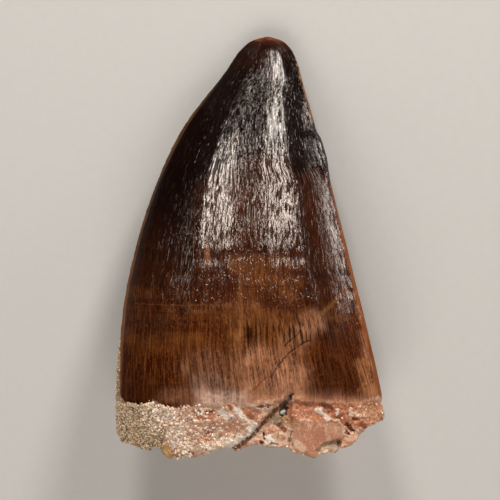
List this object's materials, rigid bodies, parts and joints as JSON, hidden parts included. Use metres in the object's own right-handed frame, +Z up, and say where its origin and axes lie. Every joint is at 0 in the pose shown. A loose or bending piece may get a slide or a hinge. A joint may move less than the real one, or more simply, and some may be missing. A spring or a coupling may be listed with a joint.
{
  "type": "fossil mosasaur tooth",
  "caption": "Curved conical fossil reptile tooth with keeled glossy brown enamel and a jagged broken root stub crusted with sand, lying on its concave side.",
  "frame": {"origin": "on the surface that the tooth lies on, under the middle of its bounding box", "axes": "+Y from the broken root to the tip, +Z up through the thickness from the concave side to the bulging side, +X across the tooth"},
  "size_m": [0.0364, 0.057, 0.0242],
  "materials": {
    "tooth": "glossy dark brown enamel with fine lengthwise wrinkles, over a rough pink and cream root",
    "sandy_matrix": "cemented tan and cream sand grains, dull"
  },
  "bodies": {
    "root": {"tooth": "tooth", "matrix_crust": "sandy_matrix"}
  },
  "joints": []
}
